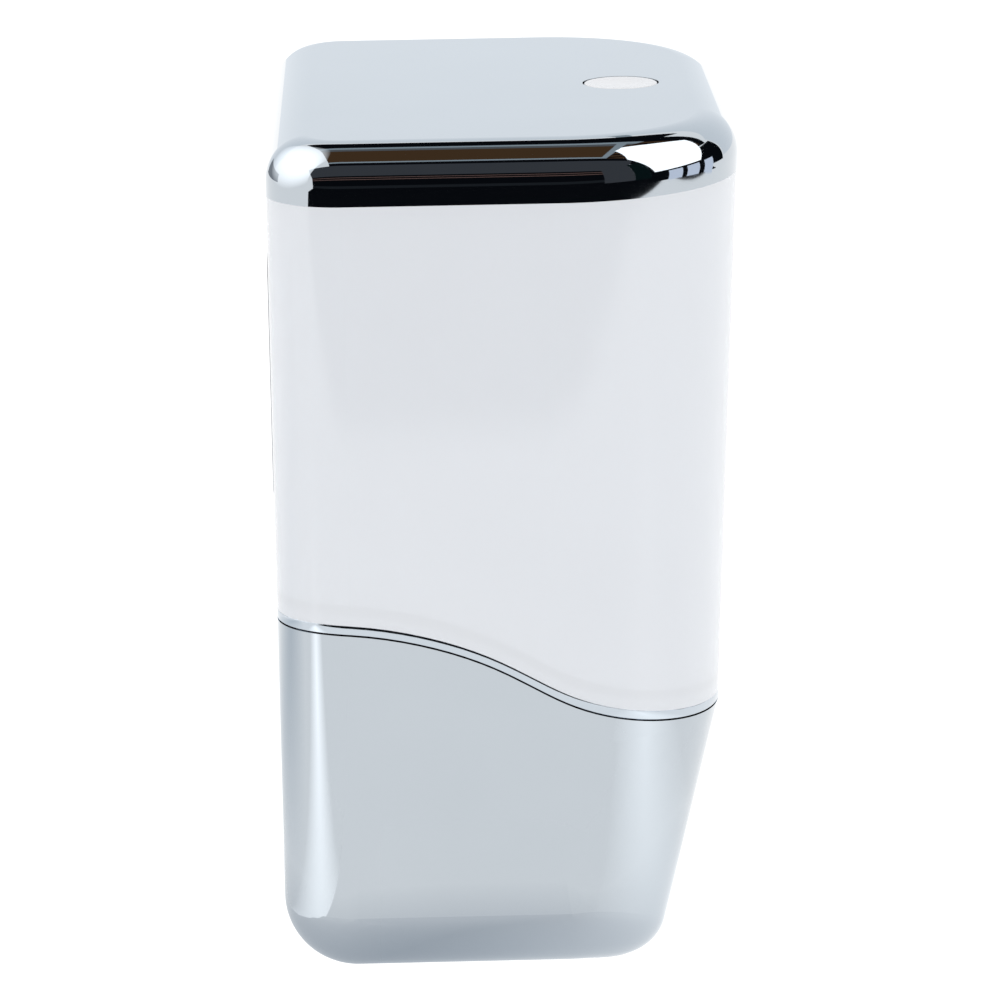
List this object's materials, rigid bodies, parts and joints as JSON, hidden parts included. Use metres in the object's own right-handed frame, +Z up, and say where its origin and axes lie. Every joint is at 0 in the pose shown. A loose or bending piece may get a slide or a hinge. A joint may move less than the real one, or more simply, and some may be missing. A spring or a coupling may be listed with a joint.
{
  "type": "wall mounted soap dispenser",
  "caption": "Wall mounted touch-free soap dispenser: milky tank with a lift-off chrome lid and push button, chrome base with a gear pump, spout and sensor, hung on a hooked bracket.",
  "frame": {"origin": "middle of the wall-screw pattern, on the bracket's back face, which lies on the wall", "axes": "+Z up, +Y into the wall, -Y out to the front of the dispenser, X left to right"},
  "size_m": [0.1384, 0.0961, 0.1733],
  "materials": {
    "bright_plating": "bright chrome plating on ABS",
    "trim_plating": "bright chrome plating on ABS",
    "milky_tank": "milky translucent, polished",
    "white_button": "white, polished",
    "grey_moulding": "moulded, fine texture",
    "pump_moulding": "natural acetal",
    "soft_silicone": "clear silicone",
    "strainer_plastic": "white moulded",
    "dark_moulding": "black moulded",
    "door_moulding": "grey moulded, fine texture",
    "dark_lens": "smoked infrared lens",
    "diode_lens": "tinted epoxy",
    "board_green": "solder resist",
    "bracket_steel": "zinc plated sheet",
    "screw_steel": "zinc plated",
    "pin_steel": "ground steel",
    "motor_can": "plated can",
    "spring_steel": "spring wire",
    "pinion_brass": "turned",
    "contact_metal": "nickel plated",
    "cell_jacket": "plain printed jacket"
  },
  "bodies": {
    "wall_mount": {"wall_bracket": "bracket_steel"},
    "dispenser": {"tank": "milky_tank", "tank_trim_ring": "trim_plating", "base_cover": "bright_plating", "chassis": "grey_moulding", "tank_outlet_seal": "soft_silicone", "outlet_strainer": "strainer_plastic", "inlet_tube": "soft_silicone", "pump_housing": "pump_moulding", "pump_cover": "pump_moulding", "pump_screws": "screw_steel", "pump_idler_pin": "pin_steel", "outlet_sleeve": "soft_silicone", "nozzle": "dark_moulding", "nozzle_valve": "soft_silicone", "gearbox_plate": "grey_moulding", "gear_cover": "grey_moulding", "gearbox_screws": "screw_steel", "motor": "motor_can", "motor_screws": "screw_steel", "idler_pin": "pin_steel", "battery_box": "grey_moulding", "batteries": "cell_jacket", "battery_contacts": "contact_metal", "circuit_board": "board_green", "sensor_window": "dark_lens", "sensor_board": "board_green", "ir_sensors": "diode_lens", "chassis_screws": "screw_steel", "base_screws": "screw_steel", "door_hinge_pin": "pin_steel"},
    "lid": {"lid_shell": "bright_plating", "lid_liner": "grey_moulding", "lid_gasket": "soft_silicone", "latch_housing": "grey_moulding", "lid_screws": "screw_steel", "latch_screws": "screw_steel", "button_spring": "spring_steel", "latch_spring": "spring_steel"},
    "button": {"lid_button": "white_button"},
    "bolt": {"latch_bolt": "pump_moulding"},
    "battery_door": {"battery_door": "door_moulding", "door_contacts": "contact_metal"},
    "drive": {"drive_gear": "pump_moulding", "drive_shaft": "pin_steel", "pump_drive_rotor": "pump_moulding"},
    "pump_idler": {"pump_idler_rotor": "pump_moulding"},
    "idler": {"idler_gear": "pump_moulding"},
    "motor_rotor": {"motor_shaft": "pin_steel", "motor_pinion": "pinion_brass"}
  },
  "joints": [
    {"name": "unhook_slide", "type": "slide", "parent": "wall_mount", "child": "dispenser", "axis": [0, 0, 1], "range_m": [0, 0.01]},
    {"name": "lid_lift", "type": "slide", "parent": "dispenser", "child": "lid", "axis": [0, 0, 1], "range_m": [0, 0.04]},
    {"name": "button_press", "type": "slide", "parent": "lid", "child": "button", "axis": [0, 0, -1], "range_m": [0, 0.0016], "stiffness_N_per_m": 400, "springref_m": -0.003, "deforming": ["button_spring"]},
    {"name": "latch_slide", "type": "slide", "parent": "lid", "child": "bolt", "axis": [0, 1, 0], "range_m": [0, 0.0016], "stiffness_N_per_m": 300, "springref_m": -0.002, "deforming": ["latch_spring"]},
    {"name": "battery_door_hinge", "type": "hinge", "parent": "dispenser", "child": "battery_door", "pos_m": [0, -0.0189, -0.1121], "axis": [1, 0, 0], "range_deg": [0, 90]},
    {"name": "drive_turn", "type": "hinge", "parent": "dispenser", "child": "drive", "pos_m": [0.0055, -0.055, 0], "axis": [0, 0, 1], "continuous": true},
    {"name": "pump_idler_turn", "type": "hinge", "parent": "dispenser", "child": "pump_idler", "pos_m": [-0.0055, -0.055, 0], "axis": [0, 0, 1], "continuous": true},
    {"name": "idler_turn", "type": "hinge", "parent": "dispenser", "child": "idler", "pos_m": [0.01875, -0.055, 0], "axis": [0, 0, 1], "continuous": true},
    {"name": "motor_turn", "type": "hinge", "parent": "dispenser", "child": "motor_rotor", "pos_m": [0.026, -0.055, 0], "axis": [0, 0, 1], "continuous": true}
  ],
  "couplings": [
    {"joint": "latch_slide", "follows": "button_press", "ratio": 1},
    {"joint": "pump_idler_turn", "follows": "drive_turn", "ratio": -1},
    {"joint": "idler_turn", "follows": "drive_turn", "ratio": -2.1176},
    {"joint": "motor_turn", "follows": "drive_turn", "ratio": 3}
  ]
}
